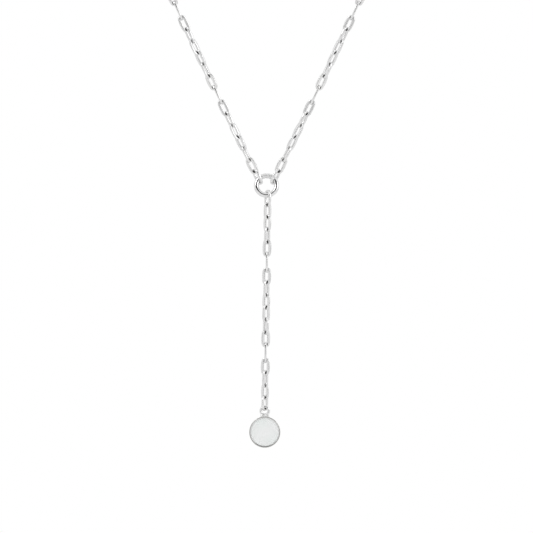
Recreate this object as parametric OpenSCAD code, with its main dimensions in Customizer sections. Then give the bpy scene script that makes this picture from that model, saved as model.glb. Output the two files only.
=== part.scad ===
// A Y necklace: a link chain round the neck meets at a small ring in front, and a short
// drop chain hangs from that ring with a round inlaid pendant at its end.
// Millimetres, Z up, seen from the front along +Y. The origin is the middle of the clasp's
// neck side, where the loop sits at the nape.

/* [Neck chain] */
// Hook to hook length of a plain link in the neck chain
neck_link_l = 3.3; // [2.8:0.05:4.2]
// Length of the straight front arm on each side
arm_l = 62; // [50:1:80]
// Lean of each arm from the vertical, in degrees
arm_lean = 25.4; // [20:0.2:32]
// How much that lean eases from the ring to the top of the arm
arm_ease = 2; // [0:0.5:5]
// Height of the nape above the ring
nape_rise = 118; // [105:1:140]
// Depth from the front arms back to the nape
nape_back = 97; // [80:1:115]

/* [Drop chain] */
// Hook to hook length of a plain link in the drop chain
drop_link_l = 3.2; // [2.8:0.05:4.2]
// Whole seven-link repeats in the drop chain
drop_repeats = 2; // [1:1:3]
// Sideways lean of the drop chain, in degrees
drop_lean = 0.8; // [0:0.1:3]

/* [Link wire] */
// Width of the flattened wire of a link, across its face
wire_w = 0.65; // [0.5:0.01:0.8]
// Thickness of that wire
wire_t = 0.45; // [0.35:0.01:0.55]
// Free space on each side of a wire that passes through a link
link_gap = 0.15; // [0.13:0.01:0.25]
// End play at each hook of the chain
hook_play = 0.17; // [0.15:0.01:0.3]

/* [Ring] */
// Outer diameter of the centre ring
ring_d = 6.5; // [6:0.1:9]
// Diameter of the ring's round wire
ring_wire_d = 1.3; // [1:0.05:1.6]
// Backward tilt of the ring's top, in degrees
ring_tilt = 15; // [0:1:20]

/* [Clasp] */
// Outer diameter of the clasp's ring
clasp_d = 6.6; // [6:0.1:9]
// Diameter of the clasp's wire
clasp_wire_d = 1.2; // [1:0.05:1.4]
// Outer diameter of the clasp's small eye
clasp_eye_d = 3.5; // [3.3:0.1:4.5]

/* [Pendant] */
// Outer diameter of the pendant's setting
pendant_d = 8; // [7:0.1:12]
// Depth of the setting from front to back
pendant_t = 2; // [1.6:0.1:3]
// Width of the setting's rim
rim_w = 0.4; // [0.3:0.05:0.7]
// Thickness of the setting's back
back_t = 0.6; // [0.4:0.05:0.9]
// Outer diameter of the loop on the setting
loop_d = 2.75; // [2.6:0.05:3.4]
// Diameter of that loop's wire
loop_wire_d = 0.65; // [0.5:0.05:0.7]
// Width of the neck between loop and setting
neck_w = 1.4; // [1:0.1:2]
// How far the loop stands behind the setting's middle, above its centre of weight
loop_back = 0.25; // [0:0.05:0.5]
// Free space between the inlay and its setting
inlay_gap = 0.05; // [0.03:0.01:0.1]
// Width of the bevel round the inlay
inlay_bevel = 0.2; // [0.1:0.02:0.6]
// Height of the inlay's low dome
inlay_dome = 0.1; // [0.05:0.05:0.5]

/* [Hidden] */
$fn = 40;
// Facets round a thin wire, and round the setting and its inlay
wire_fn = 32;
setting_fn = 72;
dome_fn = 360;

// The seven-link repeat. Each row holds a link's turn from face-on in degrees, positive
// where its right leg is in front, and its length as a share of the plain link. The right
// half of the neck chain mirrors the left, so its turns have the other sign.
TURN = 0;
SHARE = 1;
link_repeat = [
    [-14, 1],
    [58, 1],
    [-39, 1],
    [39, 1],
    [-58, 1],
    [14, 1],
    [90, 1.28],
];
repeat_n = len(link_repeat);

// The wide end links, which hook on the ring, the clasp and the pendant's loop
arm_end_link = [68, 0.97];
drop_top_link = [-66, 1.05];
drop_bottom_link = [66, 0.87];
// The two arm links next to the ring, turned to suit the wide link between them
arm_eased_turns = [0, -68];
// Links of the drop that turn the opposite way, before its first edge-on link
drop_turned_n = 5;

// Width of the wire's sloping edge, as a share of its thickness
edge_share = 0.3;
// Wires cross a link's hole at this angle, in degrees, or squarer, and it is as wide as
// that takes
crossing_angle = 68;
link_hole_w = wire_t / sin(crossing_angle) + wire_t / tan(crossing_angle) + 2 * link_gap;
// An end link's wire slants past the thicker ring and clasp wires by this many degrees
slant_angle = 25;
end_hole_w = max(ring_wire_d, clasp_wire_d) / cos(slant_angle) + wire_t * tan(slant_angle)
           + 2 * link_gap;
// Added room where an end link takes a round wire
end_slack = 0.1;

function total(list, i = 0) = i < len(list) ? list[i] + total(list, i + 1) : 0;
function unit(v) = v / norm(v);
function lean_dir(a) = [sin(a), 0, cos(a)];

// The ring's centre is the origin of all that follows, up to the last shift to the nape
ring_r = (ring_d - ring_wire_d) / 2;
function on_ring(a) =
    ring_r * [sin(a), cos(a) * sin(ring_tilt), cos(a) * cos(ring_tilt)];
// Places of the hooks round the ring, in degrees from its top
arm_hook_angle = 50;
drop_hook_angle = 173;
// A slanted end link's inner end stands off the ring wire's centre by this length
ring_reach = ring_wire_d / 2 / cos(slant_angle) + wire_t / 2 * tan(slant_angle) + end_slack;

// Route of the right half of the neck chain: a straight arm that eases, then one cubic
// curve to the nape. Its handles are shares of the nape's depth.
shoulder_pull = 0.62;
nape_pull = 0.72;
route_steps = 60;
arm_from = on_ring(arm_hook_angle) - ring_reach * lean_dir(arm_lean + arm_ease / 2);
// Wire centres of the clasp's ring and eye lie this far apart where they are soldered
clasp_joint = 0.6 * clasp_wire_d;
clasp_hook_x = (clasp_d + clasp_eye_d) / 2 - clasp_wire_d + clasp_joint / 2;
nape_y = arm_from[1] + nape_back;
nape_end = [clasp_hook_x - clasp_wire_d / 2 - end_slack, nape_y, nape_rise];

function arm_dir(s) = lean_dir(arm_lean + arm_ease * (0.5 - s / arm_l));
function arm_point(s) =
    let (steps = 12, d = s / steps)
    [for (axis = [0:2]) arm_from[axis]
        + d * total([for (i = [0:steps - 1]) arm_dir((i + 0.5) * d)[axis]])];
arm_top = arm_point(arm_l);
// The chain's few chosen points, from the arm's top to the nape
chain_points = [
    arm_top,
    arm_top + shoulder_pull * nape_back * arm_dir(arm_l),
    nape_end + [nape_pull * nape_back, 0, 0],
    nape_end,
];
function curve_point(t) =
    pow(1 - t, 3) * chain_points[0] + 3 * pow(1 - t, 2) * t * chain_points[1]
    + 3 * (1 - t) * t * t * chain_points[2] + pow(t, 3) * chain_points[3];
// Pairs of length along the curve and curve parameter
function curve_table(i = 0, s = 0) =
    i == route_steps ? [[s, 1]]
    : concat([[s, i / route_steps]],
             curve_table(i + 1, s + norm(curve_point((i + 1) / route_steps)
                                         - curve_point(i / route_steps))));
curve_lengths = curve_table();
curve_l = curve_lengths[route_steps][0];
function route_point(s) =
    s <= arm_l ? arm_point(s) : curve_point(lookup(s - arm_l, curve_lengths));

// Links of one half: a wide link at the ring, whole repeats, the last link wide again.
// All are lengthened or shortened alike by a trace, so that the loop closes.
repeat_l = total([for (row = link_repeat) row[SHARE]]) * neck_link_l;
half_l = arm_l + curve_l;
neck_repeats = round((half_l - arm_end_link[SHARE] * neck_link_l) / repeat_l);
neck_n = 1 + neck_repeats * repeat_n;
closing = half_l / (arm_end_link[SHARE] * neck_link_l + neck_repeats * repeat_l);
// Going up an arm the repeat runs backwards
function neck_row(k) = link_repeat[(2 * repeat_n - 1 - k % repeat_n) % repeat_n];
function neck_share(k) = k == 0 ? arm_end_link[SHARE] : neck_row(k)[SHARE];
function neck_turn(k) =
    k == 0 ? arm_end_link[TURN]
    : k <= len(arm_eased_turns) ? arm_eased_turns[k - 1] : neck_row(k)[TURN];
function hooks(lengths, i = 0, s = 0) =
    i == len(lengths) ? [s] : concat([s], hooks(lengths, i + 1, s + lengths[i]));
neck_hooks = hooks([for (k = [0:neck_n - 1]) neck_share(k) * neck_link_l * closing]);

// The drop chain hangs from the ring's lowest point
drop_n = 3 + drop_repeats * repeat_n;
drop_dir = [-sin(drop_lean), 0, -cos(drop_lean)];
drop_from = on_ring(drop_hook_angle) - ring_reach * drop_dir;
function drop_row(k) = link_repeat[(k + 1) % repeat_n];
function drop_link(k) =
    k == 0 ? drop_top_link : k == drop_n - 1 ? drop_bottom_link : drop_row(k);
function drop_turn(k) =
    (k > 0 && k < drop_turned_n ? -1 : 1) * drop_link(k)[TURN];
drop_hooks = hooks([for (k = [0:drop_n - 1]) drop_link(k)[SHARE] * drop_link_l]);
drop_l = drop_hooks[drop_n];

// The pendant's loop hangs in the last link, and swings about its own wire there
loop_r = (loop_d - loop_wire_d) / 2;
hinge_at = drop_from + (drop_l - loop_wire_d / 2 - end_slack) * drop_dir;
loop_at = hinge_at - [0, 0, loop_r];
// Clear height between the loop's outside and the setting
neck_h = 0.1;
pendant_at = loop_at - [0, loop_back, loop_d / 2 + neck_h + pendant_d / 2];
// Chamfer of the setting's front and back edges
edge_cut = pendant_t / 14;
inlay_r = pendant_d / 2 - rim_w - inlay_gap;
inlay_top_r = inlay_r - inlay_bevel;
// Rise of the bevel for each millimetre inward
bevel_rise = 0.6;
inlay_side_h = pendant_t - back_t - inlay_gap - inlay_dome - bevel_rise * inlay_bevel;
dome_r = (pow(inlay_top_r, 2) + pow(inlay_dome, 2)) / (2 * inlay_dome);

// Shift from the ring's centre to the nape
module from_nape() {
    translate([0, clasp_wire_d / 2 - nape_y, -nape_rise]) children();
}

// Flattened wire with six sides: flat faces, and edges that come to a blunt ridge
module wire_section() {
    w = wire_w / 2;
    t = wire_t / 2;
    f = w - edge_share * wire_t;
    polygon([[w, 0], [f, t], [-f, t], [-w, 0], [-f, -t], [f, -t]]);
}

// One long link in the XY plane, its hooks at its ends along Y
module link(hook_l, hole_w) {
    bend_r = (hole_w + wire_w) / 2;
    // A whole number of microns, so that legs and bends meet face to face
    half_leg = round(1000 * ((hook_l + hook_play + wire_w) / 2 - bend_r)) / 1000;
    for (half = [0, 180])
        rotate([0, 0, half]) {
            translate([0, half_leg, 0])
                rotate_extrude(angle = 180) translate([bend_r, 0]) wire_section();
            rotate([90, 0, 0]) linear_extrude(height = 2 * half_leg, center = true)
                translate([bend_r, 0]) wire_section();
        }
}

// A link hooked from one point to the next. Its face looks along front, turned about its
// length by turn, so that at zero it is seen face-on.
module hooked_link(from, to, front, turn, hole_w) {
    along = unit(to - from);
    side = unit(cross(along, front));
    facing = cross(side, along);
    across = cos(turn) * side + sin(turn) * facing;
    normal = cross(across, along);
    middle = (from + to) / 2;
    multmatrix([for (axis = [0:2]) [across[axis], along[axis], normal[axis], middle[axis]]])
        link(norm(to - from), hole_w);
}

module half_chain() {
    for (k = [0:neck_n - 1]) {
        from = route_point(neck_hooks[k]);
        to = route_point(neck_hooks[k + 1]);
        outward = cross(to - from, [0, 0, 1]);
        wide = k == 0 || k == neck_n - 1;
        hooked_link(from, to, outward, -neck_turn(k), wide ? end_hole_w : link_hole_w);
    }
}

module neck_chain_right() {
    color("silver") from_nape() half_chain();
}

module neck_chain_left() {
    color("silver") from_nape() mirror([1, 0, 0]) half_chain();
}

module drop_chain() {
    color("silver") from_nape()
        for (k = [0:drop_n - 1])
            hooked_link(drop_from + drop_hooks[k] * drop_dir,
                        drop_from + drop_hooks[k + 1] * drop_dir,
                        [0, -1, 0], drop_turn(k),
                        k == 0 || k == drop_n - 1 ? end_hole_w : link_hole_w);
}

// Round wire bent into a ring that stands upright
module wire_ring(outer_d, wire_d) {
    rotate([90, 0, 0]) rotate_extrude() translate([(outer_d - wire_d) / 2, 0])
        circle(d = wire_d, $fn = wire_fn);
}

module y_ring() {
    color("gainsboro") from_nape() rotate([-ring_tilt, 0, 0])
        wire_ring(ring_d, ring_wire_d);
}

// Plain ring clasp with a soldered eye
module clasp() {
    color("silver") from_nape() translate([0, nape_y, nape_rise]) {
        translate([clasp_hook_x - (clasp_d - clasp_wire_d) / 2, 0, 0])
            wire_ring(clasp_d, clasp_wire_d);
        translate([(clasp_eye_d - clasp_wire_d) / 2 - clasp_hook_x, 0, 0])
            wire_ring(clasp_eye_d, clasp_wire_d);
    }
}

// Solid turned about the setting's axis. Each point of its profile is a radius and a
// depth in front of the setting's back face.
module turned(profile) {
    translate([0, pendant_t / 2, 0]) rotate([90, 0, 0]) rotate_extrude($fn = setting_fn)
        polygon(profile);
}

// Flat neck that carries the loop, and flares where it meets the rim
module setting_neck() {
    flare_r = rim_w + neck_h;
    narrow_z = pendant_d / 2 + neck_h + loop_wire_d / 2;
    low_z = pendant_d / 2 - rim_w;
    translate([0, loop_back, 0]) difference() {
        translate([-neck_w / 2 - flare_r, -loop_wire_d / 2, low_z])
            cube([neck_w + 2 * flare_r, loop_wire_d, narrow_z - low_z]);
        for (side = [-1, 1])
            translate([side * (neck_w / 2 + flare_r), loop_wire_d, narrow_z])
                rotate([90, 0, 0]) cylinder(r = flare_r, h = 2 * loop_wire_d);
    }
}

module pendant_setting() {
    r = pendant_d / 2;
    e = edge_cut;
    color("lightgray") from_nape() {
        translate(loop_at) wire_ring(loop_d, loop_wire_d);
        translate(pendant_at) {
            difference() {
                union() {
                    turned([[0, 0], [r - e, 0], [r, e], [r, pendant_t - e],
                            [r - e, pendant_t], [0, pendant_t]]);
                    setting_neck();
                }
                translate([0, pendant_t / 2 - back_t, 0]) rotate([90, 0, 0])
                    cylinder(r = r - rim_w, h = pendant_t, $fn = setting_fn);
            }
        }
    }
}

module pendant_disc() {
    base = back_t + inlay_gap;
    side_top = base + inlay_side_h;
    color("white") from_nape() translate(pendant_at) intersection() {
        turned([[0, base], [inlay_r, base], [inlay_r, side_top],
                [0, side_top + bevel_rise * inlay_r]]);
        translate([0, dome_r - pendant_t / 2, 0]) sphere(r = dome_r, $fn = dome_fn);
    }
}

neck_chain_left();
neck_chain_right();
y_ring();
drop_chain();
clasp();
pendant_setting();
pendant_disc();
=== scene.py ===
# %% [markdown]
# # A Y necklace of silver links
# A Y necklace is a loop of chain whose two front arms meet at a small ring. A short drop
# hangs from that ring with a round pendant at its end. The imported model gives every piece
# its place and true size. This lesson gives each one its rounded surface and its finish,
# and sets up a plain studio round it. We start by loading that model.

# %% Load the imported model
import bpy
import numpy as np
from mathutils import Matrix


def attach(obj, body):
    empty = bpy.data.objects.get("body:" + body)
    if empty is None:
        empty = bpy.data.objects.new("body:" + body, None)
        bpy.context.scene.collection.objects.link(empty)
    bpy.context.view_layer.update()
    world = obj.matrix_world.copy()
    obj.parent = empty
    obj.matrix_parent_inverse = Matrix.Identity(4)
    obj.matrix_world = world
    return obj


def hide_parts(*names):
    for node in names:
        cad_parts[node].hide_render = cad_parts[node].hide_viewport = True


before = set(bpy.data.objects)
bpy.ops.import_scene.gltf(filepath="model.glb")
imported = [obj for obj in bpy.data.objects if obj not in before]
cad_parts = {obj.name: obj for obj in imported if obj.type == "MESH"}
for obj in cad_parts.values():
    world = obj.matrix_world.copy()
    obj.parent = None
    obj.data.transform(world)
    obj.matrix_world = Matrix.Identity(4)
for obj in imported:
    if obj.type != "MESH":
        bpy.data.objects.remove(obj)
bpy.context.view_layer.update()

MM = 0.001  # all shapes below are worked out in millimetres
print("nodes:", sorted(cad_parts))

# %% [markdown]
# ## Turning arrays into a mesh
# Nearly every shape here is a grid of points: stations along a path or profile, times
# points round a section. One function can therefore make most of the meshes. It takes the
# grids as one array, joins neighbours with quads, and writes everything in one go.
# Where a grid closes on itself, its last row of quads uses the first points again, but the
# UV map runs on to the full length, so that a pattern has no jump.


# %% Grid to mesh
def grid_quads(rows, cols, close_rows, close_cols):
    """Corner numbers of the quads of a rows x cols grid of points, and of its UV grid,
    which is one row or column larger wherever the points close on themselves."""
    i, j = np.meshgrid(np.arange(rows - (not close_rows)),
                       np.arange(cols - (not close_cols)), indexing="ij")
    i, j = i.ravel(), j.ravel()
    around = [(i, j), (i + 1, j), (i + 1, j + 1), (i, j + 1)]
    corners = np.stack([(a % rows) * cols + b % cols for a, b in around], axis=1)
    uv_cols = cols + bool(close_cols)
    uv_corners = np.stack([a * uv_cols + b for a, b in around], axis=1)
    return corners, uv_corners


def new_piece(name, mesh):
    """Smooths a mesh's faces, checks it and puts it into the scene as an object."""
    mesh.polygons.foreach_set("use_smooth", np.ones(len(mesh.polygons), bool))
    mesh.validate()
    piece = bpy.data.objects.new(name, mesh)
    bpy.context.scene.collection.objects.link(piece)
    print(f"{name}: {len(mesh.vertices)} points, {len(mesh.polygons)} faces")
    return piece


def grid_piece(name, points, quads, uv, attributes=()):
    """A piece from points in mm, quads, and a UV pair for each quad corner. Attributes
    are (name, one value per point)."""
    mesh = bpy.data.meshes.new(name)
    mesh.vertices.add(len(points))
    mesh.vertices.foreach_set("co", (points * MM).astype(np.float32).ravel())
    mesh.loops.add(quads.size)
    mesh.loops.foreach_set("vertex_index", quads.astype(np.int32).ravel())
    mesh.polygons.add(len(quads))
    mesh.polygons.foreach_set("loop_start", np.arange(0, quads.size, 4, dtype=np.int32))
    mesh.update(calc_edges=True)
    mesh.uv_layers.new(name="wire").data.foreach_set("uv", uv.astype(np.float32).ravel())
    for key, values in attributes:
        mesh.attributes.new(key, "FLOAT", "POINT").data.foreach_set(
            "value", values.astype(np.float32).ravel())
    return new_piece(name, mesh)


# %% [markdown]
# ## The way the chain hangs
# A chain bends only where two links meet, so its shape is a curve cut into link lengths.
# Each half has a straight arm with a slight ease in its lean, and then one cubic curve
# over the shoulder to the nape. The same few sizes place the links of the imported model,
# so the ones made here lie exactly in their places.

# %% Sizes of the necklace
ARM_L, ARM_LEAN, ARM_EASE = 62, 25.4, 2  # the lean and its ease are in degrees
NAPE_RISE, NAPE_BACK = 118, 97  # from the ring up to the nape, and from the arms back
SHOULDER_PULL, NAPE_PULL = 0.62, 0.72  # the curve's handles, as shares of NAPE_BACK
NECK_LINK_L, DROP_LINK_L = 3.3, 3.2  # hook to hook, of a plain link
DROP_LEAN = 0.8  # degrees
RING_R, RING_WIRE, RING_TILT = 2.6, 1.3, np.radians(15)
ARM_HOOK, DROP_HOOK = 50, 173  # where they hang, in degrees from the ring's top
CLASP_R, CLASP_WIRE, EYE_R = 2.7, 1.2, 1.15
CLASP_JOINT = 0.6 * CLASP_WIRE  # between the clasp's two wires, where they are soldered
LOOP_R, LOOP_WIRE, LOOP_FULL_WIRE = 1.05, 0.65, 0.7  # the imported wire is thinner
LOOP_BACK, LOOP_RISE = 0.25, 0.1  # the loop's place behind and above the setting
RIM_R = 4.0  # outer radius of the setting
PACKED_LINK_T = 0.45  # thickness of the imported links' wire
END_SLACK, END_SLANT = 0.1, np.radians(25)  # play and slant of a wide link on its ring


# %% Arm of the neck chain
def lean(angle):
    """Unit vector that leans by an angle in degrees from straight up towards +X."""
    a = np.radians(angle)
    return np.stack([np.sin(a), 0 * a, np.cos(a)], axis=-1)


def on_ring(angle):
    """Point of the tilted ring's wire centre, an angle in degrees from its top."""
    a = np.radians(angle)
    return RING_R * np.array([np.sin(a), np.cos(a) * np.sin(RING_TILT),
                              np.cos(a) * np.cos(RING_TILT)])


RING_REACH = (RING_WIRE / 2 / np.cos(END_SLANT) + PACKED_LINK_T / 2 * np.tan(END_SLANT)
              + END_SLACK)
ARM_FROM = on_ring(ARM_HOOK) - RING_REACH * lean(ARM_LEAN + ARM_EASE / 2)
CLASP_HOOK_X = CLASP_R + EYE_R + CLASP_JOINT / 2
NAPE_Y = ARM_FROM[1] + NAPE_BACK
NAPE_END = np.array([CLASP_HOOK_X - CLASP_WIRE / 2 - END_SLACK, NAPE_Y, NAPE_RISE])
TO_NAPE = np.array([0, CLASP_WIRE / 2 - NAPE_Y, -NAPE_RISE])  # ring centre to origin


def arm_point(s, steps=12):
    """Point at length s up the arm: the sum of equal steps, each along the lean that the
    arm has at the step's middle."""
    s = np.asarray(s, float)[..., None]
    middles = (np.arange(steps) + 0.5) / steps * s
    leans = lean(ARM_LEAN + ARM_EASE * (0.5 - middles / ARM_L))
    return ARM_FROM + s / steps * leans.sum(axis=-2)


# %% Curve over the shoulder to the nape
ARM_TOP = arm_point(ARM_L)
CHAIN_POINTS = np.array([ARM_TOP,
                         ARM_TOP + SHOULDER_PULL * NAPE_BACK * lean(ARM_LEAN - ARM_EASE / 2),
                         NAPE_END + [NAPE_PULL * NAPE_BACK, 0, 0], NAPE_END])


def curve_point(t):
    """Cubic curve (1-t)^3 A + 3(1-t)^2 t B + 3(1-t) t^2 C + t^3 D through its four points."""
    t = np.asarray(t, float)[..., None]
    a, b, c, d = CHAIN_POINTS
    return (1 - t)**3 * a + 3 * (1 - t)**2 * t * b + 3 * (1 - t) * t**2 * c + t**3 * d


CURVE_T = np.linspace(0, 1, 61)
CURVE_S = np.concatenate([[0], np.cumsum(np.linalg.norm(
    np.diff(curve_point(CURVE_T), axis=0), axis=1))])


def route_point(s):
    """Point at length s from the centre ring: on the arm first, then on the curve."""
    s = np.asarray(s, float)
    on_curve = curve_point(np.interp(s - ARM_L, CURVE_S, CURVE_T))
    return np.where((s <= ARM_L)[..., None], arm_point(np.minimum(s, ARM_L)), on_curve)


HALF_L = ARM_L + CURVE_S[-1]
print(f"one half of the neck chain is {HALF_L:.1f} mm long")

# %% [markdown]
# ## The repeat of seven
# The links don't lie flat one after the other. Looked at from the front, each is turned
# about its length, and after seven the order starts again: six plain links at different
# turns and one longer link that stands edge-on. A table with a turn and a length share for
# each link is the clearest way to write that down. Going up an arm, the repeat runs
# backwards. The links that hold the ring, the clasp and the pendant's loop are wider,
# because the wires in them are thicker, and the links beside them have turns of their own.

# %% Turns and lengths of all links
REPEAT_TURN = np.array([-14, 58, -39, 39, -58, 21, 90])
REPEAT_SHARE = np.array([1, 1, 1, 1, 1, 1, 1.28])
REPEAT_N = len(REPEAT_TURN)
ARM_FIRST_TURNS, ARM_FIRST_SHARE = (68, 14, -68), 0.97
DROP_N, DROP_TURNED = 17, slice(1, 5)  # DROP_TURNED: links that turn the opposite way
DROP_END_TURNS, DROP_END_SHARES = (-66, 66), (1.05, 0.87)
PLAIN_HALF_W, WIDE_HALF_W = 0.777, 1.297  # from a link's middle to its legs' centre line


def hook_lengths(share):
    """Length from a chain's start to each of its hooks, in plain links."""
    return np.concatenate([[0], np.cumsum(share)])


def half_widths(n):
    """Half widths of n links, of which the first and the last are wide."""
    half_w = np.full(n, PLAIN_HALF_W)
    half_w[[0, -1]] = WIDE_HALF_W
    return half_w


# %% Places of the neck chain's links
def neck_links():
    """Hook to hook ends, front direction, turn and half width of one half's links."""
    repeat_l = REPEAT_SHARE.sum() * NECK_LINK_L
    n = 1 + REPEAT_N * round((HALF_L - ARM_FIRST_SHARE * NECK_LINK_L) / repeat_l)
    rows = (2 * REPEAT_N - 1 - np.arange(n) % REPEAT_N) % REPEAT_N
    turn, share = REPEAT_TURN[rows].astype(float), REPEAT_SHARE[rows].copy()
    turn[:len(ARM_FIRST_TURNS)], share[0] = ARM_FIRST_TURNS, ARM_FIRST_SHARE
    points = route_point(hook_lengths(share) * HALF_L / share.sum())
    front = np.cross(points[1:] - points[:-1], [0, 0, 1])
    return points[:-1] + TO_NAPE, points[1:] + TO_NAPE, front, -turn, half_widths(n)


NECK = neck_links()
print(f"{len(NECK[0])} links in each half of the neck chain")

# %% Places of the drop's links and of the pendant
DROP_DIR = -lean(DROP_LEAN)
DROP_FROM = on_ring(DROP_HOOK) - RING_REACH * DROP_DIR


def drop_links():
    """Ends, front direction, turn and half width of the drop's links, on a straight line."""
    rows = (np.arange(DROP_N) + 1) % REPEAT_N
    turn, share = REPEAT_TURN[rows].astype(float), REPEAT_SHARE[rows].copy()
    turn[DROP_TURNED] *= -1
    turn[[0, -1]], share[[0, -1]] = DROP_END_TURNS, DROP_END_SHARES
    hooks = hook_lengths(share) * DROP_LINK_L
    points = DROP_FROM + hooks[:, None] * DROP_DIR + TO_NAPE
    front = np.tile([0.0, -1.0, 0.0], (DROP_N, 1))
    return points[:-1], points[1:], front, turn, half_widths(DROP_N)


DROP = drop_links()
HINGE = DROP[1][-1] - (LOOP_WIRE / 2 + END_SLACK) * DROP_DIR
LOOP_AT = HINGE - [0, 0, LOOP_R]
PENDANT = LOOP_AT - [0, LOOP_BACK, LOOP_R + LOOP_WIRE / 2 + LOOP_RISE + RIM_R]
print(f"{len(DROP[0])} links in the drop, pendant's middle at {PENDANT.round(3)} mm")

# %% [markdown]
# ## One link
# A link is wire bent to a long oval and soldered shut. Its opening is a slot with round
# ends, just wide enough for the next link's wire. Its outline is a superellipse, a curve
# between an ellipse and a rectangle, so the wire is widest in the legs and narrower in the
# bends, where it was pulled round. The wire was rolled flat: its section is a rectangle
# with rounded edges. Each station of the sweep is a ray that starts on the slot's middle
# line and crosses the slot's edge and then the outline. All links of a chain are made in
# one array, and each is then set into its own place by three unit vectors: across its
# face, along its length, and out of its face.

# %% Section and rays of a link
LEG_W, BEND_W, WIRE_T, EDGE_R = 0.81, 0.67, 0.57, 0.19
OVAL_POWER = 2.7  # of the outline: 2 is an ellipse, and more is squarer
HOOK_ROOM = 0.03  # from the point where two links hook to the slot's end
BEND_STEPS, LEG_STEPS = 8, 2
LONGEST_RAY = 4.0
EDGE_ANGLES = (75, 37, 0)  # of the rounded edge's points, in degrees from the flat face's
FACE_POINT = -0.4  # place of one more point on the flat face, in shares of EDGE_R


def wire_section():
    """The wire's section in 16 points as offsets from four corner centres: which side each
    point is on, its offset, and the same through the wire. The last two points of each
    corner lie on the flat face, which keeps its shading flat."""
    angle = np.radians([*EDGE_ANGLES, 0])
    out, up = np.sin(angle), np.cos(angle)
    out[-1] = FACE_POINT
    order = [0, 1, 2, 3, 3, 2, 1, 0] * 2
    side, face = np.repeat([1, -1, -1, 1], 4), np.repeat([1, 1, -1, -1], 4)
    return side, side * out[order], face * (WIRE_T / 2 - EDGE_R + EDGE_R * up[order])


def link_rays():
    """Angle of the ray at each station round a link, and where it starts as a share of the
    slot's half length: 1 in one bend, -1 in the other, and between them on the legs."""
    bend = np.linspace(0, np.pi, BEND_STEPS + 1)
    legs = np.linspace(1, -1, LEG_STEPS + 1)[1:-1]
    angle = np.concatenate([bend, np.full(len(legs), np.pi), bend + np.pi,
                            np.full(len(legs), 2 * np.pi)])
    share = np.concatenate([np.ones(len(bend)), legs, -np.ones(len(bend)), -legs])
    return angle, share


SIDE, OFFSET, THROUGH = wire_section()
RAY_ANGLE, RAY_FROM = link_rays()
print(f"a link has {len(RAY_ANGLE)} stations of {len(SIDE)} points")


# %% Where a ray meets the outline
def last_holding(test, low, high, rounds):
    """The last value at which a test still holds, between low, where it does, and high,
    where it doesn't, found by halving that interval. Works on numbers and arrays."""
    for _ in range(rounds):
        middle = (low + high) / 2
        holds = test(middle)
        low, high = np.where(holds, middle, low), np.where(holds, high, middle)
    return low


def outline_reach(start_y, half_w, half_l):
    """Length of each ray from (0, start_y) to the outline |x/w|^p + |y/l|^p = 1."""
    def inside(reach):
        x, y = reach * np.cos(RAY_ANGLE), start_y + reach * np.sin(RAY_ANGLE)
        return np.abs(x / half_w)**OVAL_POWER + np.abs(y / half_l)**OVAL_POWER < 1

    return last_holding(inside, np.zeros_like(start_y),
                        np.full_like(start_y, LONGEST_RAY), rounds=30)


# %% Surface of the links
def link_points(start, end, front, turn, half_w):
    """Points of every link as an array of links x stations x sides x 3. The wire lies
    between the slot's edge and the outline, and its section stands on the ray and on the
    link's own normal."""
    along = end - start
    length = np.linalg.norm(along, axis=1)
    along = along / length[:, None]
    side = np.cross(along, front)
    side /= np.linalg.norm(side, axis=1)[:, None]
    facing = np.cross(side, along)
    a = np.radians(turn)[:, None]
    across = np.cos(a) * side + np.sin(a) * facing
    normal = np.cross(across, along)
    slot_r = half_w[:, None] - LEG_W / 2
    tip = length[:, None] / 2 + HOOK_ROOM
    ray_y = (tip - slot_r) * RAY_FROM
    reach = outline_reach(ray_y, half_w[:, None] + LEG_W / 2, tip + BEND_W)
    middle_r, width = (reach + slot_r) / 2, reach - slot_r
    out = middle_r[..., None] + SIDE * (width[..., None] / 2 - EDGE_R) + EDGE_R * OFFSET
    x = out * np.cos(RAY_ANGLE)[:, None]
    y = ray_y[..., None] + out * np.sin(RAY_ANGLE)[:, None]
    z = np.broadcast_to(THROUGH, x.shape)
    middle = (start + end) / 2
    return (middle[:, None, None] + x[..., None] * across[:, None, None]
            + y[..., None] * along[:, None, None] + z[..., None] * normal[:, None, None])


# %% [markdown]
# ## Seating the end links
# The plain links touch their neighbours, as links do under their own weight. The wide end
# links bear on round wire: the centre ring, the clasp and the pendant's loop. Their hook
# end is drawn in until its surface just touches that wire. The distance from a point to a
# ring of wire is its distance to the wire's centre circle, less the wire's radius, so the
# right length is found by halving an interval a few times.

# %% Places of the rings
UP, FRONT = np.array([0.0, 0.0, 1.0]), np.array([0.0, -1.0, 0.0])
RING_AXIS = np.array([0, -np.cos(RING_TILT), np.sin(RING_TILT)])
RING_UP = np.array([0, np.sin(RING_TILT), np.cos(RING_TILT)])
CLASP_AT = np.array([CLASP_HOOK_X - CLASP_R, CLASP_WIRE / 2, 0])
EYE_AT = np.array([EYE_R - CLASP_HOOK_X, CLASP_WIRE / 2, 0])
# radius and wire radius of the loop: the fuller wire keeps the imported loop's outside
FULL_LOOP = (LOOP_R + (LOOP_WIRE - LOOP_FULL_WIRE) / 2, LOOP_FULL_WIRE / 2)
SEAT_FROM, SEAT_TO = -0.4, 0.6  # an end is drawn in by a length between these
TOUCHING = 0.004  # a gap as small as this counts as touching
print("ring, clasp and loop centres, mm:", *[v.round(2) for v in (TO_NAPE, CLASP_AT, LOOP_AT)])


# %% Seat the end links on their rings
def ring_gap(points, centre, axis, radius, wire_r):
    """Smallest distance from points to a ring of round wire."""
    rel = points - centre
    height = rel @ axis
    flat = np.linalg.norm(rel - height[..., None] * axis, axis=-1)
    return (np.hypot(flat - radius, height) - wire_r).min()


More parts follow.
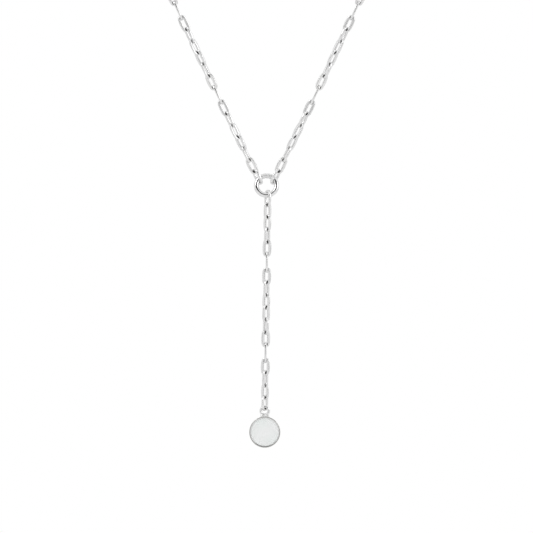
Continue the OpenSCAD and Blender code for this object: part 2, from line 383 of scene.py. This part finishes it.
def seat(links, which, at_end, ring):
    """Draws one end of a link in towards its other end, until it touches the ring."""
    start, end, front, turn, half_w = [np.array(v[[which]]) for v in links]
    moved, pull = (end, start - end) if at_end else (start, end - start)
    pull = pull / np.linalg.norm(pull)

    def clear(drawn_in):
        trial = moved + drawn_in * pull
        ends = (start, trial) if at_end else (trial, end)
        return ring_gap(link_points(*ends, front, turn, half_w), *ring) > TOUCHING

    drawn_in = float(last_holding(clear, SEAT_FROM, SEAT_TO, rounds=24))
    links[1 if at_end else 0][which] = (moved + drawn_in * pull)[0]
    print(f"end link drawn in by {drawn_in:.3f} mm")


CENTRE_RING = (TO_NAPE, RING_AXIS, RING_R, RING_WIRE / 2)
seat(NECK, 0, False, CENTRE_RING)
seat(NECK, -1, True, (CLASP_AT, FRONT, CLASP_R, CLASP_WIRE / 2))
seat(DROP, 0, False, CENTRE_RING)
seat(DROP, -1, True, (LOOP_AT, FRONT, *FULL_LOOP))

# %% [markdown]
# ## The three chains
# Each chain is one mesh of closed links. Besides its shape, a link carries a UV map with
# millimetres along the wire and round it, so that drawing marks can follow the wire. It
# also carries two values for each point: how deep it lies in a hook, which the silver
# uses for painted shade where the links meet, and a tone that differs a little from link
# to link. The left half of the neck chain is the right half's mirror image. A mirror turns
# faces inside out, so the corners of its quads are written the other way round.

# %% UV map and hook value
UV_STEP = 20  # mm on the UV map from one link to the next
HOOK_POWER = 2.2  # how steeply the hook value falls from the tip of a bend
FIRST_LINK_SHADE = 0.25  # share of the hook value, and so of the painted shade, left at the first link's end in the centre ring


def wire_uv(points):
    """Millimetres along the wire and round it, for each link's closed UV grid."""
    n, rows, cols = points.shape[:3]
    centre = points.mean(axis=2)
    steps = np.linalg.norm(np.roll(centre, -1, axis=1) - centre, axis=2)
    along = np.concatenate([np.zeros((n, 1)), np.cumsum(steps, axis=1)], axis=1)
    around = np.linspace(0, 2 * (LEG_W + WIRE_T - EDGE_R), cols + 1)
    return np.stack(np.broadcast_arrays(
        along[:, :, None] + UV_STEP * np.arange(n)[:, None, None], around),
        axis=-1).reshape(n, -1, 2)


def hook_values(n):
    """|sin a|^p with a the ray's angle: near 1 at the tip of each bend, on the wire's inner
    side, and 0 on the legs."""
    tip = np.where(np.abs(RAY_FROM) == 1, np.abs(np.sin(RAY_ANGLE)), 0)**HOOK_POWER
    hook = np.tile(tip[:, None] * (SIDE < 0), (n, 1, 1))
    # the first link's end in the centre ring gets less painted shade
    hook[0, RAY_ANGLE > np.pi] *= FIRST_LINK_SHADE
    return hook


# %% Build the chains
def chain_piece(name, links, node, mirrored=False):
    """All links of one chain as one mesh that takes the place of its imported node."""
    points = link_points(*links)
    n, rows, cols = points.shape[:3]
    quads, uv_quads = grid_quads(rows, cols, True, True)
    uv = wire_uv(points)
    if mirrored:
        points, quads, uv_quads = points * [-1, 1, 1], quads[:, ::-1], uv_quads[:, ::-1]
    all_quads = (quads[None] + (np.arange(n) * rows * cols)[:, None, None]).reshape(-1, 4)
    hook = hook_values(n)
    tone = np.random.default_rng(7).uniform(-1, 1, n)[:, None, None]
    piece = grid_piece(name, points.reshape(-1, 3), all_quads,
                       uv[:, uv_quads].reshape(-1, 4, 2),
                       [("hook", hook), ("tone", np.broadcast_to(tone, hook.shape))])
    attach(piece, "necklace")
    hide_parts(node)
    return piece


neck_right = chain_piece("neck_links_right", NECK, "neck_chain_right")
neck_left = chain_piece("neck_links_left", NECK, "neck_chain_left", mirrored=True)
drop = chain_piece("drop_links", DROP, "drop_chain")

# %% [markdown]
# ## Rings of round wire
# The centre ring, the clasp's two rings and the pendant's loop are all the same form: a
# circle swept round a larger circle. The clasp's rings are soldered to each other, so their
# surfaces are joined into one skin with a Boolean.


# %% Surface of a ring, and solder
def ring_piece(name, centre, axis, up, radius, wire_r, steps=120, sides=32):
    """Torus: centre + (R + r cos b)(cos a side + sin a up) + r sin b axis, as an array of
    steps x sides x 3."""
    a, b = [np.arange(n) / n * 2 * np.pi for n in (steps, sides)]
    radial = np.cos(a)[:, None] * np.cross(up, axis) + np.sin(a)[:, None] * up
    out = (radius + wire_r * np.cos(b))[:, None]
    points = centre + out * radial[:, None] + (wire_r * np.sin(b))[:, None] * axis
    quads, uv_quads = grid_quads(steps, sides, True, True)
    u = np.arange(steps + 1) / steps * 2 * np.pi * radius
    v = np.arange(sides + 1) / sides * 2 * np.pi * wire_r
    uv = np.stack(np.meshgrid(u, v, indexing="ij"), axis=-1).reshape(-1, 2)
    return grid_piece(name, points.reshape(-1, 3), quads, uv[uv_quads])


def solder(piece, *others):
    """Joins closed pieces into one skin, writes it into the mesh, and removes the others."""
    for other in others:
        union = piece.modifiers.new("solder", "BOOLEAN")
        union.operation, union.solver, union.object = "UNION", "EXACT", other
    graph = bpy.context.evaluated_depsgraph_get()
    joined = bpy.data.meshes.new_from_object(piece.evaluated_get(graph))
    piece.modifiers.clear()
    piece.data = joined
    for other in others:
        bpy.data.objects.remove(other)
    print(f"{piece.name}: soldered, {len(piece.data.polygons)} faces")


# %% Centre ring and clasp
ring = ring_piece("centre_ring", TO_NAPE, RING_AXIS, RING_UP, RING_R, RING_WIRE / 2)
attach(ring, "necklace")
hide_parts("y_ring")

clasp = ring_piece("clasp_rings", CLASP_AT, FRONT, UP, CLASP_R, CLASP_WIRE / 2,
                   steps=96, sides=24)
eye = ring_piece("clasp_eye", EYE_AT, FRONT, UP, EYE_R, CLASP_WIRE / 2, steps=64, sides=24)
solder(clasp, eye)
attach(clasp, "necklace")
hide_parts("clasp")

# %% [markdown]
# ## The pendant's setting
# The setting is a shallow cup. Its rim was rubbed over the inlay, which leaves a narrow
# flat rim with soft edges, and a fine lip that slopes down and closes on the inlay. A
# profile turned about the cup's axis gives it, with an arc in each corner. The neck is a
# flat web that flares into the rim like a fillet, and the loop stands on it. All three are
# soldered, so they are joined into one skin. The cup and the neck are both rings of points
# that close at two poles, so one function makes their meshes.


# %% Closed pieces of the pendant
def closed_piece(name, rings, poles):
    """A closed surface through rings of points, given as an array of rings x points x 3 in
    mm from the pendant's middle. A fan joins the first and the last ring to its pole."""
    rows, cols = rings.shape[:2]
    quads, _ = grid_quads(rows, cols, False, True)
    here = np.arange(cols)
    ahead, last = (here + 1) % cols, (rows - 1) * cols
    first_pole, last_pole = np.full(cols, rows * cols), np.full(cols, rows * cols + 1)
    first_fan = np.stack([first_pole, ahead, here], axis=1)
    last_fan = np.stack([last_pole, last + here, last + ahead], axis=1)
    points = np.concatenate([rings.reshape(-1, 3), poles]) + PENDANT
    mesh = bpy.data.meshes.new(name)
    mesh.from_pydata((points * MM).tolist(), [], [
        *quads[:, ::-1].tolist(), *first_fan.tolist(), *last_fan.tolist()])
    return new_piece(name, mesh)


def corner(x, y, radius, start, stop, steps=6):
    """Arc of a rounded corner about (x, y), from one angle to another in degrees."""
    a = np.radians(np.linspace(start, stop, steps))
    return np.stack([x + radius * np.cos(a), y + radius * np.sin(a)], axis=1)


def turned_piece(name, profile, steps=144):
    """Turns a profile of (radius r, depth d) about the pendant's axis: (r cos a, d, r sin a)
    as an array of profile points x steps x 3. Depth 0 is the middle of the setting and
    grows towards the back. The profile starts and ends on the axis."""
    r, depth = profile[1:-1].T[:, :, None]
    a = np.arange(steps) / steps * 2 * np.pi
    rings = np.stack(np.broadcast_arrays(r * np.cos(a), depth, r * np.sin(a)), axis=-1)
    return closed_piece(name, rings, [[0, profile[0, 1], 0], [0, profile[-1, 1], 0]])


# %% Cup
HALF_T, RIM_W, CUP_FLOOR = 1.0, 0.4, 0.4
INNER_R, LIP_R = RIM_R - RIM_W, 3.57
BACK_ROUND, RIM_ROUND, LIP_ROUND = 0.3, 0.14, 0.06
RIM_FLAT = 0.2  # from the outside to where the rim starts to slope down to the lip
LIP_DEPTH, LIP_SLOPE = 0.09, 7  # middle of its round below the rim's face, and degrees
# the lip's inner side, in points of radius past LIP_R and depth below the rim's face
LIP_INSIDE = np.array([[0, 0.105], [0.02, 0.18]])
LIP_FOOT, FLOOR_CUT = 0.4, 0.1  # depth where the lip meets the wall, and the cut corner
BACK_R = 2.2  # of a ring of points on the flat back, which keeps its shading flat

cup_profile = np.concatenate([
    [[0, HALF_T], [BACK_R, HALF_T]],
    corner(RIM_R - BACK_ROUND, HALF_T - BACK_ROUND, BACK_ROUND, 90, 0),
    corner(RIM_R - RIM_ROUND, RIM_ROUND - HALF_T, RIM_ROUND, 0, -90, steps=8),
    [[RIM_R - RIM_FLAT, -HALF_T]],
    corner(LIP_R + LIP_ROUND, LIP_DEPTH - HALF_T, LIP_ROUND, -90 - LIP_SLOPE, -180, steps=5),
    LIP_INSIDE + [LIP_R, -HALF_T],
    [[INNER_R, LIP_FOOT - HALF_T], [INNER_R, CUP_FLOOR - FLOOR_CUT]],
    [[INNER_R - FLOOR_CUT, CUP_FLOOR], [0, CUP_FLOOR]],
])
setting = turned_piece("setting_silver", cup_profile)

# %% [markdown]
# The neck is lofted: at each height it has a rounded flat section, whose half width comes
# from the rim's side along a quarter circle, as a fillet does, and which gets thinner
# towards the loop, most of all in front. It stands 0.25 mm behind the setting's middle, so
# that the loop is right above the pendant's centre of weight.

# %% Neck and loop
NECK_HALF_W, NECK_FLARE, NECK_TOP = 1.1, 0.62, 1.12
NECK_POWER = 0.62  # below 1 it squares the oval section
TOP_HALF_T, FOOT_FRONT, FOOT_BACK = 0.26, 0.8, 0.45  # the foot's are added to the top's


def neck_piece(name, levels=16, sides=32):
    """Loft of ovals between the rim and the loop. Half width w(h) = n + f - sqrt(f^2 -
    (f - h)^2), with h the height, n the narrowest half width and f the flare's radius."""
    height = np.linspace(0, NECK_TOP, levels)[:, None]
    below_flare = NECK_FLARE - np.clip(height, 0, NECK_FLARE)
    arc = np.sqrt(np.maximum(NECK_FLARE**2 - below_flare**2, 0))
    a = np.arange(sides) / sides * 2 * np.pi
    across, deep = [np.sign(v) * np.abs(v)**NECK_POWER for v in (np.cos(a), np.sin(a))]
    foot = np.where(deep < 0, FOOT_FRONT, FOOT_BACK) * (1 - height / NECK_TOP)
    x = (NECK_HALF_W + NECK_FLARE - arc) * across
    y = LOOP_BACK + deep * (TOP_HALF_T + foot)
    z = np.broadcast_to(INNER_R + height, x.shape)
    poles = [[0, LOOP_BACK, z[0, 0]], [0, LOOP_BACK, z[-1, 0]]]
    return closed_piece(name, np.stack([x, y, z], axis=-1), poles)


neck = neck_piece("setting_neck")
loop = ring_piece("setting_loop", LOOP_AT, FRONT, UP, *FULL_LOOP, steps=72, sides=24)
solder(setting, neck, loop)
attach(setting, "pendant")
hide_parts("pendant_setting")

# %% [markdown]
# ## The inlay
# The inlay is a slice of shell, cut round, with a face that is very slightly domed and a
# narrow bevel, over which the lip closes. It is the same kind of turned profile. Its face
# and bevel run into each other, as polishing leaves them.

# %% Inlay
INLAY_R, TOP_R, DOME = 3.58, 3.38, 0.1
INLAY_BACK, BACK_CUT = 0.35, 0.05
DOME_R = (TOP_R**2 + DOME**2) / (2 * DOME)
# the bevel's points, in radius and depth from where its sharp edge would be
BEVEL = np.array([[0, 0.12], [-0.01, 0.07], [-0.05, 0.03], [-0.13, 0.01]])

face_r = np.linspace(0, TOP_R, 16)
face = np.stack([face_r, DOME_R - HALF_T - np.sqrt(DOME_R**2 - face_r**2)], axis=1)
inlay_profile = np.concatenate([
    [[0, INLAY_BACK], [INLAY_R - BACK_CUT, INLAY_BACK], [INLAY_R, INLAY_BACK - BACK_CUT]],
    BEVEL + [INLAY_R, DOME - HALF_T],
    face[::-1],
])
inlay = turned_piece("shell_inlay", inlay_profile)
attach(inlay, "pendant")
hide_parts("pendant_disc")

# %% [markdown]
# ## Silver
# Polished silver is a metal with a nearly white colour and low roughness. What makes it
# look real is that the roughness isn't even: wire keeps faint marks from the drawplate
# along its length, and handling adds fine scratches. The materials therefore build
# roughness, a small bump and the colour from noise at the scale of the real marks. The
# links also get painted shade, near black, in their hooks where they meet. A noise scale
# is in marks per unit: 900 per metre on the object's coordinates is about one cloud in
# each millimetre. Nodes are added in few words with a small class, which serves the
# studio's light as well.


# %% Helpers for nodes
class Nodes:
    """Adds nodes to a node tree."""

    def __init__(self, tree):
        self.tree = tree
        self.tree.nodes.clear()

    def add(self, kind, **settings):
        """A node with settings: its own, or a socket's, with _ for a space in its name."""
        node = self.tree.nodes.new(kind)
        for key, value in settings.items():
            if hasattr(node, key):
                setattr(node, key, value)
            else:
                node.inputs[key.replace("_", " ")].default_value = value
        return node

    def link(self, source, target):
        """Joins one node's output to another's input."""
        self.tree.links.new(source, target)

    def feed(self, value, socket):
        """Links another node's output to a socket, or sets a plain value there."""
        if isinstance(value, bpy.types.NodeSocket):
            self.link(value, socket)
        else:
            socket.default_value = value

    def coords(self):
        """Where a point lies on its object, in metres."""
        return self.add("ShaderNodeTexCoord").outputs["Object"]

    def mapped(self, vector, **settings):
        """The vector with a Scale, then a Rotation, then a Location."""
        node = self.add("ShaderNodeMapping", **settings)
        self.link(vector, node.inputs["Vector"])
        return node.outputs[0]

    def length(self, vector):
        """The vector's length, sqrt(x^2 + y^2 + z^2)."""
        node = self.add("ShaderNodeVectorMath", operation="LENGTH")
        self.link(vector, node.inputs[0])
        return node.outputs["Value"]

    def distance(self, centre, scale=(1, 1, 1)):
        """Distance from a point given in mm, with each axis scaled; 0 leaves an axis out."""
        start = (-np.array(centre) * scale * MM).tolist()
        return self.length(self.mapped(self.coords(), Location=start, Scale=scale))

    def noise(self, vector, scale, detail=3.0, stretch=None):
        """Clouds of values round 0.5. A stretch below 1 draws them out along its axis."""
        if stretch is not None:
            vector = self.mapped(vector, Scale=stretch)
        node = self.add("ShaderNodeTexNoise", Scale=scale, Detail=detail)
        self.link(vector, node.inputs["Vector"])
        return node.outputs["Fac"]

    def range(self, value, low, high, from_low=0.0, from_high=1.0, ease="LINEAR"):
        """Turns the stretch from_low to from_high of a value into low to high."""
        node = self.add("ShaderNodeMapRange", interpolation_type=ease, To_Min=low,
                        To_Max=high, From_Min=from_low, From_Max=from_high)
        self.link(value, node.inputs["Value"])
        return node.outputs["Result"]

    def mix(self, factor, a, b):
        """Colour a where the factor is 0, and b where it is 1."""
        node = self.add("ShaderNodeMix", data_type="RGBA")
        for value, n in ((factor, 0), (a, 6), (b, 7)):
            self.feed(value, node.inputs[n])
        return node.outputs[2]

    def math(self, operation, a, b):
        """An operation on two values, point by point."""
        node = self.add("ShaderNodeMath", operation=operation)
        self.feed(a, node.inputs[0])
        self.feed(b, node.inputs[1])
        return node.outputs[0]

    def bump(self, height, depth, strength, normal=None):
        """A bump whose height 1 is a depth in mm, over a normal where one is given."""
        node = self.add("ShaderNodeBump", Strength=strength, Distance=depth * MM)
        self.link(height, node.inputs["Height"])
        if normal is not None:
            self.link(normal, node.inputs["Normal"])
        return node.outputs["Normal"]


# %% A material is a tree of nodes round one shader
class Finish(Nodes):
    """A material with one shader. Settings are values that are the same all over."""

    def __init__(self, name, **settings):
        self.material = bpy.data.materials.new(name)
        self.material.use_nodes = True
        super().__init__(self.material.node_tree)
        self.shader = self.add("ShaderNodeBsdfPrincipled", **settings)
        output = self.add("ShaderNodeOutputMaterial")
        self.link(self.shader.outputs[0], output.inputs["Surface"])

    def give(self, socket, value):
        """Links a value that varies over the surface to one of the shader's sockets."""
        self.link(value, self.shader.inputs[socket])


# %% [markdown]
# The chain's silver reads the UV map for the drawing marks, the hook value for the painted
# shade in the hooks, and the tone for the small difference between links.

# %% Silver of the links
LINK_COOL, LINK_WARM = (0.81, 0.81, 0.815, 1), (0.84, 0.838, 0.834, 1)
# the second colour on this line is painted shade, near black, for the hooks where links meet
LINK_DULL, HOOK_SHADE_COLOUR = (0.77, 0.765, 0.755, 1), (0.05, 0.047, 0.044, 1)
MOST_OF_NOISE, UPPER_NOISE = (0.3, 0.7), (0.45, 0.7)  # stretches of a noise's values


def link_silver():
    """Drawing marks 9 to the millimetre round the wire, clouds, fine scratches, and painted
    shade in the hooks.
    """
    m = Finish("silver_links", Metallic=1.0)
    place = m.coords()
    wire = m.add("ShaderNodeUVMap", uv_map="wire").outputs[0]
    hook, tone = [m.add("ShaderNodeAttribute", attribute_name=name).outputs["Fac"]
                  for name in ("hook", "tone")]
    marks = m.noise(wire, scale=9.0, detail=4.0, stretch=(0.12, 1.0, 1.0))
    cloud = m.noise(place, scale=900.0, detail=2.0)
    scratches = m.noise(place, scale=5200.0, detail=2.0)
    clean = m.mix(m.range(tone, 0.0, 1.0, -1.0, 1.0), LINK_COOL, LINK_WARM)
    dull = m.mix(m.range(cloud, 0.0, 0.35, *UPPER_NOISE), clean, LINK_DULL)
    # painted shade: the silver goes near black in the hooks, where the links meet, and rougher
    in_hook = m.math("MULTIPLY", hook, m.range(cloud, 0.75, 1.1, *MOST_OF_NOISE))
    painted_hook_shade = m.range(in_hook, 0.0, 0.95, 0.16, 0.6)
    m.give("Base Color", m.mix(painted_hook_shade, dull, HOOK_SHADE_COLOUR))
    m.give("Roughness", m.math("ADD", m.range(marks, 0.14, 0.26, 0.35, 0.65),
                               m.range(painted_hook_shade, 0.0, 0.2)))
    marked = m.bump(marks, depth=0.012, strength=0.35)
    m.give("Normal", m.bump(scratches, depth=0.004, strength=0.25, normal=marked))
    return m.material


# %% [markdown]
# The rings and the setting are brighter. They were tumbled to a mirror finish, so only
# hair-fine scratches and a soft cloudiness are left. The centre ring's solder seam was
# filed, and its top has stayed matt, so it shows no sharp reflection there. The setting's
# silver is darker in a narrow band round the outside of its rim, while its lip and its
# loop stay bright. The distance from a point or from the pendant's axis tells the one from
# the other. Painted shade darkens the two corners between the loop and the neck as well.

# %% Polished silver
BRIGHT_COOL, BRIGHT_WARM = (0.815, 0.815, 0.82, 1), (0.845, 0.843, 0.839, 1)
# colour of a darker band round the rim, and of the painted shade in the corners by the loop
DARKER_SILVER = (0.5, 0.5, 0.475, 1)
SEAM_FROM, SEAM_TO, SEAM_ROUGH = 1.9, 2.7, 0.5  # matt up to 1.9 mm from the seam
# distances from the pendant's axis, in mm: darker between the inner two
WALL_FROM, WALL_FULL, WALL_UNTIL, WALL_TO = 3.76, 3.82, 4.005, 4.03
# painted shade in the corners: place beside the axis and above the rim, and reach
CORNER_SHADE_ASIDE, CORNER_SHADE_RISE, CORNER_SHADE_FULL, CORNER_SHADE_TO = 0.7, 0.24, 0.08, 0.28


def polished_silver(name, rough_low, rough_high):
    """Clouds and hair-fine scratches. It keeps its colour as clean, and its roughness as
    rough, for the two functions below."""
    m = Finish(name, Metallic=1.0)
    place = m.coords()
    cloud = m.noise(place, scale=420.0)
    hair = m.noise(place, scale=1800.0, stretch=(1.0, 0.25, 5.0))
    m.clean = m.mix(cloud, BRIGHT_COOL, BRIGHT_WARM)
    m.rough = m.range(hair, rough_low, rough_high, *MOST_OF_NOISE)
    m.give("Base Color", m.clean)
    m.give("Roughness", m.rough)
    m.give("Normal", m.bump(hair, depth=0.003, strength=0.3))
    return m


def matt_seam(m):
    """Makes the silver matt round the solder seam at the ring's top."""
    from_seam = m.distance(TO_NAPE + RING_R * RING_UP)
    seam = m.range(from_seam, 1.0, 0.0, SEAM_FROM * MM, SEAM_TO * MM)
    m.give("Roughness", m.mix(seam, m.rough, (SEAM_ROUGH, SEAM_ROUGH, SEAM_ROUGH, 1)))


def darken_setting(m):
    """Darkens the silver near the rim's radius from the pendant's axis, and paints shade into
    the two corners between the loop and the neck."""
    radius = m.distance(PENDANT, (1, 0, 1))
    dark = m.math("MULTIPLY", m.range(radius, 0.0, 1.0, WALL_FROM * MM, WALL_FULL * MM),
                  m.range(radius, 1.0, 0.0, WALL_UNTIL * MM, WALL_TO * MM))
    # painted shade: the two corners between the loop and the neck are darkened
    for side in (-CORNER_SHADE_ASIDE, CORNER_SHADE_ASIDE):
        near = m.distance(PENDANT + [side, 0, RIM_R + CORNER_SHADE_RISE], (1, 0, 0.7))
        corner_shade = m.range(near, 0.8, 0.0, CORNER_SHADE_FULL * MM, CORNER_SHADE_TO * MM)
        dark = m.math("MAXIMUM", dark, corner_shade)
    patches = m.range(m.noise(m.coords(), scale=700.0), 0.75, 1.0, *MOST_OF_NOISE)
    m.give("Base Color", m.mix(m.math("MULTIPLY", dark, patches), m.clean, DARKER_SILVER))


# %% [markdown]
# The shell is milky with a faint cool tint. Its colour is also painted darker from the
# middle out to the edge, as shade on its low dome. Nacre grows in thin layers, which show
# as soft wandering bands with a breath of pink and green. Distorted waves on the object's
# coordinates give those, kept very pale. A clear polish lies over them.

# %% Shell
# the edge's colour is painted shade: the milky colour darkens towards the edge of the dome
SHADED_MILKY_EDGE, MILKY_MIDDLE = (0.885, 0.925, 0.91, 1), (0.97, 0.985, 0.98, 1)
BAND_PINK, CLOUD_PINK = (0.96, 0.955, 0.955, 1), (0.965, 0.95, 0.96, 1)


def shell():
    """Milky, darkened by painted shade from the middle outwards, with pale pink along the
    waves and in the clouds.
    """
    m = Finish("shell_nacre", Roughness=0.3, Coat_Weight=0.3, Coat_Roughness=0.08)
    centred = m.mapped(m.coords(), Location=(-PENDANT * MM).tolist())
    waves = m.add("ShaderNodeTexWave", wave_type="BANDS", bands_direction="DIAGONAL",
                  Scale=95.0, Distortion=7.0, Detail=3.0, Detail_Scale=1.3)
    m.link(centred, waves.inputs["Vector"])
    bands, cloud = waves.outputs["Fac"], m.noise(centred, scale=330.0)
    # painted shade: the milky colour darkens from the middle out to the edge
    middle = m.range(m.length(centred), 1.0, 0.0, 0.8 * MM, 3.3 * MM)
    milky = m.mix(middle, SHADED_MILKY_EDGE, MILKY_MIDDLE)
    banded = m.mix(m.range(bands, 0.0, 0.5), milky, BAND_PINK)
    m.give("Base Color", m.mix(m.range(cloud, 0.0, 0.4, *UPPER_NOISE), banded, CLOUD_PINK))
    m.give("Normal", m.bump(bands, depth=0.006, strength=0.1))
    return m.material


# %% Put the finishes on
ring_silver = polished_silver("silver_rings", 0.06, 0.12)
matt_seam(ring_silver)
setting_silver = polished_silver("silver_setting", 0.10, 0.18)
darken_setting(setting_silver)
links_finish = link_silver()
for piece, finish, slot in ((neck_right, links_finish, "silver_chain"),
                            (neck_left, links_finish, "silver_chain"),
                            (drop, links_finish, "silver_chain"),
                            (ring, ring_silver.material, "silver_bright"),
                            (clasp, ring_silver.material, "silver_bright"),
                            (setting, setting_silver.material, "silver_bright"),
                            (inlay, shell(), "pearl_inlay")):
    piece.data.materials.clear()
    piece.data.materials.append(finish)
print("finishes:", [m.name for m in bpy.data.materials])

# %% [markdown]
# ## Studio
# Small bright metal shows nothing but its surroundings, so the studio does the shading. A
# pale surround lights the piece from all sides, as a light tent does. It is grey round the
# camera, which greys each face that looks straight at the camera: the edge-on links and the
# setting's rim. A black oval card hangs above the camera. The centre ring is tilted back,
# so the middle of its wire reflects that card, and a dark line runs round it. The surround
# is darker from below and a little darker behind. The camera itself sees white. The floor
# is plain and pale.

# %% Greys and card of the surround
FRONT_GREY, BACK_GREY = 0.4, 0.8  # straight at the camera's side, and straight behind
# the greys between them, each at an angle in degrees from the camera's side
SURROUND = ((9, 0.43), (24, 0.93), (30, 0.87), (72, 0.9), (100, 0.94), (125, 0.9),
            (150, 0.82))
BELOW_GREY = 0.5  # what is left of the light that comes from straight below
BELOW_TO_LEVEL = (-0.95, 0.05)  # heights between which it grows back to 1
# the card's rise above the camera, and its half width and half height, in degrees
CARD_RISE, CARD_WIDE, CARD_HIGH = np.radians([31, 43, 15])
CARD_GREY, CARD_EDGE = 0.03, (0.8, 1.2)  # its soft edge is in shares of its size
CARD_ENDS = (-0.3, 0.0)  # the oval shows behind too, so it fades out between these depths
WHITE = (1, 1, 1, 1)


def surround_grey(n, back):
    """Grey by the angle a from the camera's side: a ramp over (1 - cos a) / 2, which is 0
    at the camera's side and 1 straight behind."""
    shade = n.add("ShaderNodeValToRGB")
    stops = shade.color_ramp.elements
    stops[0].color = (FRONT_GREY, FRONT_GREY, FRONT_GREY, 1)
    stops[1].color = (BACK_GREY, BACK_GREY, BACK_GREY, 1)
    for angle, grey in SURROUND:
        stops.new((1 - np.cos(np.radians(angle))) / 2).color = (grey, grey, grey, 1)
    n.link(n.range(back, 0.0, 1.0, -1.0, 1.0), shade.inputs["Fac"])
    return shade.outputs["Color"]


def card_shade(n, way, back):
    """Dark on the card and 1 beside it. The direction is turned until the card's middle is
    straight ahead, and then scaled across until it is 1 long on the oval's edge."""
    ahead = n.mapped(way, Rotation=(CARD_RISE, 0, 0))
    oval = n.mapped(ahead, Scale=(1 / np.sin(CARD_WIDE), 0, 1 / np.sin(CARD_HIGH)))
    card = n.range(n.length(oval), CARD_GREY, 1.0, *CARD_EDGE, "SMOOTHSTEP")
    return n.math("MAXIMUM", card, n.range(back, 0.0, 1.0, *CARD_ENDS, "SMOOTHSTEP"))


# %% Surround
def surround():
    """World light as a function of direction: the greys, darker from below, times the
    card. The camera itself sees plain white."""
    world = bpy.data.worlds.new("studio")
    world.use_nodes = True
    bpy.context.scene.world = world
    n = Nodes(world.node_tree)
    way = n.add("ShaderNodeTexCoord").outputs["Generated"]
    parts = n.add("ShaderNodeSeparateXYZ")
    n.link(way, parts.inputs[0])
    back, up = parts.outputs["Y"], parts.outputs["Z"]
    height = n.range(up, BELOW_GREY, 1.0, *BELOW_TO_LEVEL, "SMOOTHSTEP")
    greys = n.math("MULTIPLY", height, surround_grey(n, back))
    given = n.add("ShaderNodeBackground", Color=WHITE)
    n.link(n.math("MULTIPLY", greys, card_shade(n, way, back)), given.inputs["Strength"])
    seen = n.add("ShaderNodeBackground", Color=WHITE, Strength=1.0)
    choose = n.add("ShaderNodeMixShader")
    n.link(n.add("ShaderNodeLightPath").outputs["Is Camera Ray"], choose.inputs[0])
    n.link(given.outputs[0], choose.inputs[1])
    n.link(seen.outputs[0], choose.inputs[2])
    n.link(choose.outputs[0], n.add("ShaderNodeOutputWorld").inputs["Surface"])
    print(f"surround: {len(SURROUND) + 2} greys, {len(n.tree.nodes)} nodes")


surround()

# %% Floor and lamps
FLOOR_DARK, FLOOR_LIGHT = (0.87, 0.87, 0.87, 1), (0.90, 0.90, 0.90, 1)
AIM = np.array([0, -0.09, -0.13])  # in metres, as all places in this cell


def floor_piece(radius=3.5, height=-0.45, steps=96):
    """A flat disc: one ring of points at the radius and one face."""
    a = np.arange(steps) / steps * 2 * np.pi
    points = np.stack([radius * np.cos(a), radius * np.sin(a), np.full(steps, height)],
                      axis=1)
    mesh = bpy.data.meshes.new("floor")
    mesh.from_pydata(points.tolist(), [], [list(range(steps))])
    floor = new_piece("floor", mesh)
    m = Finish("floor_paper", Roughness=0.9)
    cloud = m.noise(m.coords(), scale=3.0, detail=2.0)
    m.give("Base Color", m.mix(cloud, FLOOR_DARK, FLOOR_LIGHT))
    mesh.materials.append(m.material)


def lamp(name, place, watts, size=0.8):
    """A soft square lamp at a place, turned to the piece. The camera doesn't see it."""
    data = bpy.data.lights.new(name, "AREA")
    data.size, data.energy = size, watts
    light = bpy.data.objects.new(name, data)
    bpy.context.scene.collection.objects.link(light)
    back = (place - AIM) / np.linalg.norm(place - AIM)
    side = np.cross([0, 0, 1], back)
    side /= np.linalg.norm(side)
    turn = np.eye(4)
    turn[:3] = np.stack([side, np.cross(back, side), back, place], axis=1)
    light.matrix_world = Matrix(turn.tolist())
    light.visible_camera = False
    print(f"lamp {name}: {watts} W, {np.linalg.norm(place - AIM):.2f} m away")


floor_piece()
lamp("key", np.array([-1.0, -1.1, 1.0]), 5.0)
lamp("fill", np.array([1.2, -1.0, 0.5]), 4.0)

# %% [markdown]
# ## Camera
# The picture is a straight front view with a long lens. One pixel is 0.258 mm where the
# arms and the drop hang, and the ring is 81 pixels above the picture's middle. That gives
# the camera's height and its lens.

# %% Camera
PIXEL, PICTURE, RING_ABOVE = 0.258 * MM, 533, 81
DISTANCE, SENSOR = 1.5, 36.0
camera_data = bpy.data.cameras.new("camera")
camera_data.sensor_width = SENSOR
camera_data.lens = SENSOR * DISTANCE / (PIXEL * PICTURE)
camera_data.clip_start, camera_data.clip_end = 0.01, 50.0
camera = bpy.data.objects.new("camera", camera_data)
bpy.context.scene.collection.objects.link(camera)
camera.location = (0.0, TO_NAPE[1] * MM - DISTANCE, TO_NAPE[2] * MM - RING_ABOVE * PIXEL)
camera.rotation_euler = (np.pi / 2, 0, 0)
bpy.context.scene.camera = camera
bpy.context.scene.view_settings.view_transform = "Standard"
print(f"lens {camera_data.lens:.0f} mm at {DISTANCE} m")
